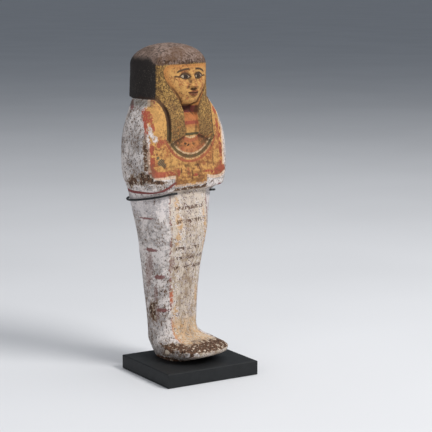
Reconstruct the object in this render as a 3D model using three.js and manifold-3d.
// A painted wooden ushabti (funerary figurine) on a black museum stand.
// Millimetres, +Z up, origin at the middle of the underside of the base plate.
// The figure is one carved piece: horizontal sections from the sole to the crown, with the
// wig, the face, the folded arms and the fists standing in relief on them.
import * as THREE from 'three';
import { mergeVertices } from 'three/addons/utils/BufferGeometryUtils.js';
import Module from 'manifold-3d';

// ---- driving dimensions -------------------------------------------------------------------
const FIGURE_HEIGHT = 220;
const FIGURE_PLACE = { x: -4.3, y: 17.6 };       // ankle axis, from the middle of the plate
const FIGURE_TURN = THREE.MathUtils.degToRad(13); // turned to its left on the plate
const BASE = { width: 72, depth: 65, height: 10, bevel: 0.6 };
const FIT_GAP = 0.3;                              // between pieces that touch
const WIRE_RADIUS = 0.75;
const ROD_RADIUS = 1.4;

// Sections of the figure about its ankle axis: height, half width, depth in front of the axis,
// depth behind it, squareness in front (2 is an ellipse, more is squarer).
const LEGS = [
  [0, 17.4, 15.5, 13.4, 2.6],
  [23, 17.8, 15.3, 14.0, 2.4],
  [40, 19.2, 15.2, 15.8, 2.4],
  [63, 21.6, 16.9, 18.0, 2.4],
  [80, 24.0, 20.4, 18.6, 2.4],
  [90, 25.8, 21.8, 19.0, 2.5],
  [108, 30.4, 17.8, 21.2, 2.7],
  [120, 32.6, 15.8, 22.2, 2.8],
];
const TORSO = [
  [104, 33.4, 20.9, 18.6, 6.0],
  [120, 35.4, 20.8, 19.4, 6.0],
  [130, 38.8, 21.6, 20.9, 6.0],
  [143, 39.6, 21.2, 22.2, 5.8],
  [157, 38.8, 20.6, 22.0, 5.0],
  [169, 35.4, 19.7, 20.6, 4.0],
  [176, 31.8, 18.8, 20.8, 3.3],
  [184, 26.6, 17.2, 22.0, 2.8],
];
const HEAD = [
  [182, 26.4, 21.4, 27.6, 2.3],
  [200, 26.0, 22.0, 26.8, 2.2],
];
const FACE = [
  [175, 11.5, 15.5, 20, 2.0],
  [179.5, 13.5, 20.4, 20, 2.1],
  [186, 19.0, 22.6, 20, 2.2],
  [193, 23.2, 23.0, 20, 2.3],
  [206, 25.4, 21.6, 20, 2.3],
];
const FOOT = [
  [0, 13.2, 26.5, 7.0, 2.9],
  [3, 14.2, 34.5, 9.2, 3.1],
  [5.5, 15.3, 41.6, 10.6, 3.3],
  [8, 16.2, 43.2, 11.8, 3.4],
  [10, 16.8, 42.6, 12.8, 3.4],
  [11.5, 17.1, 38.0, 13.5, 3.3],
  [13, 17.3, 29.0, 13.9, 3.1],
  [14.5, 17.4, 21.8, 14.0, 3.0],
  [16, 17.4, 18.0, 14.0, 2.8],
  [18.5, 17.5, 16.5, 14.0, 2.5],
  [24, 17.8, 15.3, 14.0, 2.4],
];
const BACK_SQUARENESS = 2.4;
const FOOT_TOP = 24;                  // where the foot has become the ankle
const TOE_FLARE = 0.46;               // how much wider the toes are than the heel
const TOE_SHIFT = 1;                  // the toes stand a little to the figure's left
const ARM_LEDGE = 119;                // under edge of the folded arms, in front
const WIG_HEM = 182.5;                // lower edge of the wig at the sides and back
const CROWN_START = 205;              // from here the crown closes
const CROWN_POWER = 2.05;

// The wig's opening for the face and neck, and its lappets, seen from the front.
const OPENING = { neck: 6.5, temple: 20, low: 172, high: 201, fringe: 206, corner: 4.5 };
// A lappet's outer edge is narrowest at the waist and its lower end slopes down outwards.
const LAPPET = { end: 158, slope: 0.35, waist: 20.2, waistHeight: 168, above: 3.5, below: 1.2, rise: 2.2 };
const CARVED_EDGE = 1.1;              // half width of the slope where one level meets the next
const THROAT_DEPTH = 14.3;

// The face is laid out on the plain proportions of a head: the eyes halfway between chin and
// skull top, the nose ending halfway between brow and chin, the mouth a third below it.
const CHIN = 179;
const SKULL_TOP = 216.5;
const EYE_LINE = (CHIN + SKULL_TOP) / 2;
const BROW = EYE_LINE + 4;
const NOSE_BASE = (BROW + CHIN) / 2;
const MOUTH = NOSE_BASE - (NOSE_BASE - CHIN) / 3;
const EYE = { x: 6.2, halfWidth: 4.2, halfHeight: 2 };

// Folded arms: a forearm runs from the elbow to the fist; the fists meet in the middle.
const FOREARM = { elbow: [33, 126.5], wrist: [12, 129.5], halfHeight: 8.6, rise: 1.5 };
const FIST = { x: 6.4, z: 130, halfWidth: 6.4, halfHeight: 5.6, rise: 2.1 };

// The wire: its heights behind and in front, and the angles of its two ends, round the back.
const WIRE = { back: 112.6, front: 118, rightEnd: -32, leftEnd: 52 - 360 };
const ROD_ANGLE = 115;                // the rod stands at the figure's left, behind

// ---- small helpers ------------------------------------------------------------------------
const clamp01 = (t) => Math.min(1, Math.max(0, t));

function smooth(from, to, value) {
  const t = clamp01((value - from) / (to - from));
  return t * t * (3 - 2 * t);
}

const mix = (a, b, t) => a + (b - a) * t;

const bump = (distance) => Math.exp(-distance * distance);

// Values of a section table at a height, on a smooth cubic through its rows.
function sectionValues(table, height) {
  const z = Math.min(Math.max(height, table[0][0]), table.at(-1)[0]);
  let i = 0;
  while (i < table.length - 2 && z > table[i + 1][0]) i += 1;
  const [low, high] = [table[i], table[i + 1]];
  const before = table[i - 1] ?? low;
  const after = table[i + 2] ?? high;
  const span = high[0] - low[0];
  const t = (z - low[0]) / span;
  return low.slice(1).map((value, k) => {
    const c = k + 1;
    const slopeLow = (high[c] - before[c]) / (high[0] - before[0]) * span;
    const slopeHigh = (after[c] - low[c]) / (after[0] - low[0]) * span;
    return (2 * t ** 3 - 3 * t ** 2 + 1) * value + (t ** 3 - 2 * t ** 2 + t) * slopeLow
      + (3 * t ** 2 - 2 * t ** 3) * high[c] + (t ** 3 - t ** 2) * slopeHigh;
  });
}

// Radius of one section in the direction of an angle (0 is the front, +90 deg its left).
function sectionRadius(table, angle, height) {
  const [halfWidth, front, back, squareness] = sectionValues(table, height);
  const side = Math.abs(Math.sin(angle));
  const ahead = Math.cos(angle);
  const depth = ahead > 0 ? front : back;
  const power = ahead > 0 ? squareness : BACK_SQUARENESS;
  return ((side / halfWidth) ** power + (Math.abs(ahead) / depth) ** power) ** (-1 / power);
}

// ---- the figure's form --------------------------------------------------------------------
// Foot, legs and the block of the folded arms, which overhangs the legs in front.
function trunkRadius(angle, z) {
  if (z < FOOT_TOP) return sectionRadius(FOOT, angle, z);
  const inFront = smooth(-0.1, 0.75, Math.cos(angle));
  const ledge = ARM_LEDGE - (1 - inFront);
  const softness = mix(10, 1.2, inFront);       // crisp in front, a soft slope behind
  const legs = sectionRadius(LEGS, angle, z);
  const torso = sectionRadius(TORSO, angle, z);
  return mix(legs, torso, smooth(ledge - softness, ledge + softness, z));
}

const openingHalfWidth = (z) => mix(OPENING.neck, OPENING.temple, smooth(OPENING.low, OPENING.high, z));

// How far a point lies inside the wig's opening, which has round upper corners.
function insideOpening(x, z) {
  const across = Math.abs(x) - openingHalfWidth(z) + OPENING.corner;
  const up = z - OPENING.fringe + OPENING.corner;
  return OPENING.corner - Math.hypot(Math.max(across, 0), Math.max(up, 0))
    - Math.min(Math.max(across, up), 0);
}

// How far a point lies inside the wig: above its hem, or on a lappet, and not in the opening.
function insideWig(x, z, inFront) {
  if (!inFront) return z - WIG_HEM;
  const side = Math.abs(x);
  const spread = z > LAPPET.waistHeight ? LAPPET.above : LAPPET.below;
  const outerEdge = LAPPET.waist + spread * ((z - LAPPET.waistHeight) / 15) ** 2;
  const lappet = Math.min(outerEdge - side, z - LAPPET.end + LAPPET.slope * (side - OPENING.neck));
  return Math.min(Math.max(z - WIG_HEM, lappet), -insideOpening(x, z));
}

// Relief of the face in front of its plain rounded form.
function faceRelief(x, z) {
  const side = Math.abs(x);
  const noseTip = NOSE_BASE + 1.2;
  const along = clamp01((BROW - 1 - z) / (BROW - 1 - noseTip));
  const nose = mix(0.6, 4.2, along) * bump(side / mix(1.5, 2.4, along ** 2))
    * smooth(NOSE_BASE - 0.9, noseTip - 0.2, z) * smooth(BROW + 2, BROW - 2, z);
  const nostril = 1.4 * bump((side - 2.6) / 1.1) * bump((z - NOSE_BASE - 1.1) / 1.3);
  const browArch = BROW + 1 - 0.035 * (side - 4.6) ** 2;
  const brow = 0.6 * bump((z - browArch) / 0.8) * smooth(11, 8.5, side) * smooth(0.6, 2.6, side);
  const socket = -1.3 * bump((side - EYE.x + 0.4) / 4.8) * bump((z - EYE_LINE - 0.1) / 2.9);
  const across = (side - EYE.x) / EYE.halfWidth;
  const eyeball = 1.15 * smooth(-0.1, 0.9, 1 - across ** 2 - Math.abs(z - EYE_LINE) / EYE.halfHeight);
  const cheek = 0.9 * bump((side - 7.6) / 3.4) * bump((z - NOSE_BASE - 0.8) / 3.8);
  const lipHeight = z - MOUTH - 0.016 * side ** 2;
  const upperLip = 1.3 * bump(side / 4.6) * bump(lipHeight - 0.95);
  const lowerLip = 1.35 * bump(side / 3.9) * bump(lipHeight + 1.1);
  const mouthForm = 0.9 * bump(side / 6) * bump(lipHeight / 2.9);
  const lipLine = -0.7 * bump(side / 4.4) * bump(lipHeight / 0.5);
  const chin = 1.5 * bump(side / 4.2) * bump((z - CHIN - 2.5) / 2.1)
    - 0.55 * bump(side / 3.6) * bump((z - MOUTH + 2.9) / 0.9);
  return nose + nostril + brow + socket + eyeball + cheek + upperLip + lowerLip + mouthForm + lipLine + chin;
}

// Height of a folded forearm and its fist above the chest.
function armRelief(x, z) {
  const side = Math.abs(x);
  const [[elbowX, elbowZ], [wristX, wristZ]] = [FOREARM.elbow, FOREARM.wrist];
  const along = clamp01((elbowX - side) / (elbowX - wristX));
  const offLine = Math.abs(z - mix(elbowZ, wristZ, along)) / FOREARM.halfHeight;
  const forearm = FOREARM.rise * smooth(1.05, 0.55, offLine) * smooth(5, 9, side) * smooth(37, 29, side);
  const across = Math.abs((side - FIST.x) / FIST.halfWidth);
  const up = Math.abs((z - FIST.z) / FIST.halfHeight);
  const fist = FIST.rise * smooth(1.2, 0.55, (across ** 2.6 + up ** 2.6) ** (1 / 2.6));
  return Math.max(forearm, fist);
}

// Radius of what lies in the wig's opening: face above the chin, throat and chest below it.
function openingRadius(angle, z, chest) {
  const plainFace = sectionRadius(FACE, angle, z);
  const face = plainFace + faceRelief(plainFace * Math.sin(angle), z);
  const throat = mix(chest - 0.6, THROAT_DEPTH, smooth(CHIN - 10, CHIN - 3, z));
  return mix(throat, face, smooth(CHIN - 2, CHIN + 1.2, z));
}

// Radius of the carved surface: the body, what shows in the opening, and the wig over both.
function carvedRadius(angle, z) {
  const inFront = Math.cos(angle) > 0;
  const towardsFront = smooth(0, 0.3, Math.cos(angle));
  const trunk = trunkRadius(angle, z);
  const head = sectionRadius(HEAD, angle, z);
  if (!inFront) return mix(trunk, head, smooth(-CARVED_EDGE, CARVED_EDGE, insideWig(0, z, false)));
  const arms = armRelief(trunk * Math.sin(angle), z) * smooth(ARM_LEDGE - 0.5, ARM_LEDGE + 1.5, z);
  const body = trunk + arms * towardsFront;
  const hair = mix(trunk + LAPPET.rise * towardsFront, head, smooth(WIG_HEM - 8, WIG_HEM + 2, z));
  const x = hair * Math.sin(angle);
  const openShare = smooth(-1, 0.5, insideOpening(x, z)) * smooth(WIG_HEM - 16, WIG_HEM - 12, z);
  const under = mix(body, openingRadius(angle, z, body), openShare);
  return mix(under, hair, smooth(-CARVED_EDGE, CARVED_EDGE, insideWig(x, z, true)));
}

// One point of the surface, in the figure's own frame (front is -Y).
function surfacePoint(angle, z) {
  const rise = clamp01((z - CROWN_START) / (FIGURE_HEIGHT - CROWN_START));
  const radius = carvedRadius(angle, z) * (1 - rise ** CROWN_POWER) ** (1 / CROWN_POWER);
  const ahead = radius * Math.cos(angle);
  const low = smooth(22, 8, z);
  const flare = 1 + TOE_FLARE * smooth(-6, 22, ahead) * low;
  const x = radius * Math.sin(angle) * flare + TOE_SHIFT * smooth(5, 20, ahead) * low;
  return [x, -ahead, z];
}

// Heights of the rings: close together where the carving is fine.
function ringHeights() {
  const bands = [[0, FOOT_TOP, 11], [FOOT_TOP, 110, 9], [110, 117, 3], [117, 121, 5],
    [121, 150, 11], [150, 174, 7], [174, CROWN_START, 20]];
  const heights = [];
  for (const [from, to, count] of bands) {
    for (let i = 0; i < count; i += 1) heights.push(mix(from, to, i / count));
  }
  const crownRings = 8;
  for (let i = 0; i < crownRings; i += 1) {
    const turn = i / crownRings * Math.PI / 2;
    heights.push(mix(CROWN_START, FIGURE_HEIGHT, Math.sin(turn)));
  }
  return heights;
}

// Closed mesh of the figure: rings of points, a flat sole and the crown's last point.
function figureGeometry() {
  const columns = 60;
  const heights = ringHeights();
  const positions = [];
  for (const z of heights) {
    for (let i = 0; i < columns; i += 1) {
      const even = i / columns * 2 * Math.PI - Math.PI;
      const angle = even - 0.35 * Math.sin(even);  // closer together in front
      positions.push(...surfacePoint(angle, z));
    }
  }
  const sole = positions.length / 3;
  positions.push(0, -8, 0);
  positions.push(0, 0, FIGURE_HEIGHT);
  const crown = sole + 1;
  const faces = [];
  const lastRing = (heights.length - 1) * columns;
  for (let i = 0; i < columns; i += 1) {
    const next = (i + 1) % columns;
    for (let ring = 0; ring < lastRing; ring += columns) {
      faces.push(ring + i, ring + next, ring + columns + next);
      faces.push(ring + i, ring + columns + next, ring + columns + i);
    }
    faces.push(sole, next, i);
    faces.push(crown, lastRing + i, lastRing + next);
  }
  const geometry = new THREE.BufferGeometry();
  geometry.setAttribute('position', new THREE.Float32BufferAttribute(positions, 3));
  geometry.setIndex(faces);
  return geometry;
}

// ---- the stand ----------------------------------------------------------------------------
function basePlateGeometry() {
  const { width, depth, height, bevel } = BASE;
  const outline = new THREE.Shape();
  outline.moveTo(-width / 2 + bevel, -depth / 2 + bevel);
  outline.lineTo(width / 2 - bevel, -depth / 2 + bevel);
  outline.lineTo(width / 2 - bevel, depth / 2 - bevel);
  outline.lineTo(-width / 2 + bevel, depth / 2 - bevel);
  outline.closePath();
  const geometry = new THREE.ExtrudeGeometry(outline, {
    depth: height - 2 * bevel, bevelThickness: bevel, bevelSize: bevel, bevelSegments: 2,
  });
  geometry.translate(0, 0, bevel);
  return geometry;
}

function roundSection(radius, sides) {
  const points = [];
  for (let i = 0; i < sides; i += 1) {
    const turn = i / sides * 2 * Math.PI;
    points.push(new THREE.Vector2(radius * Math.cos(turn), radius * Math.sin(turn)));
  }
  return new THREE.Shape(points);
}

// A round bar along a smooth curve through the given points.
function barGeometry(points, radius, sides, steps) {
  const extrudePath = new THREE.CatmullRomCurve3(points);
  return new THREE.ExtrudeGeometry(roundSection(radius, sides), { extrudePath, steps });
}

// A point beside the body at an angle and height, clear of it by the bar's radius and the gap.
function besideBody(angle, z, barRadius) {
  let reach = 0;
  for (const turn of [-0.06, 0, 0.06]) {
    for (const rise of [-barRadius, 0, barRadius]) {
      reach = Math.max(reach, trunkRadius(angle + turn, z + rise));
    }
  }
  const radius = reach + barRadius + FIT_GAP;
  return new THREE.Vector3(radius * Math.sin(angle), -radius * Math.cos(angle), z);
}

const wireHeight = (angle) => mix(WIRE.back, WIRE.front, smooth(-0.4, 1, Math.cos(angle)));

function wirePoints() {
  const points = [];
  const count = 36;
  for (let i = 0; i <= count; i += 1) {
    const angle = THREE.MathUtils.degToRad(mix(WIRE.rightEnd, WIRE.leftEnd, i / count));
    points.push(besideBody(angle, wireHeight(angle), WIRE_RADIUS));
  }
  return points;
}

function rodPoints() {
  const angle = THREE.MathUtils.degToRad(ROD_ANGLE);
  const top = wireHeight(angle) + 2;
  const shin = besideBody(angle, 54, ROD_RADIUS);
  const points = [new THREE.Vector3(shin.x, shin.y, 0), new THREE.Vector3(shin.x, shin.y, 30), shin];
  for (const z of [72, 90, 102, top]) points.push(besideBody(angle, z, ROD_RADIUS));
  return points;
}

// ---- joins --------------------------------------------------------------------------------
const wasm = await Module();
wasm.setup();

function toSolid(geometry) {
  const bare = geometry.clone();
  bare.deleteAttribute('normal');
  bare.deleteAttribute('uv');
  const merged = mergeVertices(bare, 1e-5);
  return new wasm.Manifold(new wasm.Mesh({
    numProp: 3,
    vertProperties: Float32Array.from(merged.attributes.position.array),
    triVerts: Uint32Array.from(merged.index.array),
  }));
}

function toGeometry(solid) {
  const mesh = solid.getMesh();
  const geometry = new THREE.BufferGeometry();
  geometry.setAttribute('position', new THREE.BufferAttribute(mesh.vertProperties, 3));
  geometry.setIndex(new THREE.BufferAttribute(mesh.triVerts, 1));
  return geometry;
}

// The wire round the body and the rod that carries it are brazed into one piece.
function mountGeometry() {
  const ring = toSolid(barGeometry(wirePoints(), WIRE_RADIUS, 7, 46));
  const rod = toSolid(barGeometry(rodPoints(), ROD_RADIUS, 8, 16));
  return toGeometry(ring.add(rod));
}

// ---- assembly -----------------------------------------------------------------------------
function piece(name, geometry, color, roughness, metalness) {
  const mesh = new THREE.Mesh(geometry, new THREE.MeshStandardMaterial({ color, roughness, metalness }));
  mesh.name = name;
  return mesh;
}

const object = new THREE.Group();
object.add(piece('display_base', basePlateGeometry(), 0x2b2c2e, 0.6, 0.1));

const standing = new THREE.Group();
standing.position.set(FIGURE_PLACE.x, FIGURE_PLACE.y, BASE.height + FIT_GAP);
standing.rotation.z = FIGURE_TURN;
standing.add(piece('ushabti_figure', figureGeometry(), 0xc9a877, 0.75, 0));
standing.add(piece('mount_wire', mountGeometry(), 0x17171a, 0.5, 0.6));
object.add(standing);

export default object;
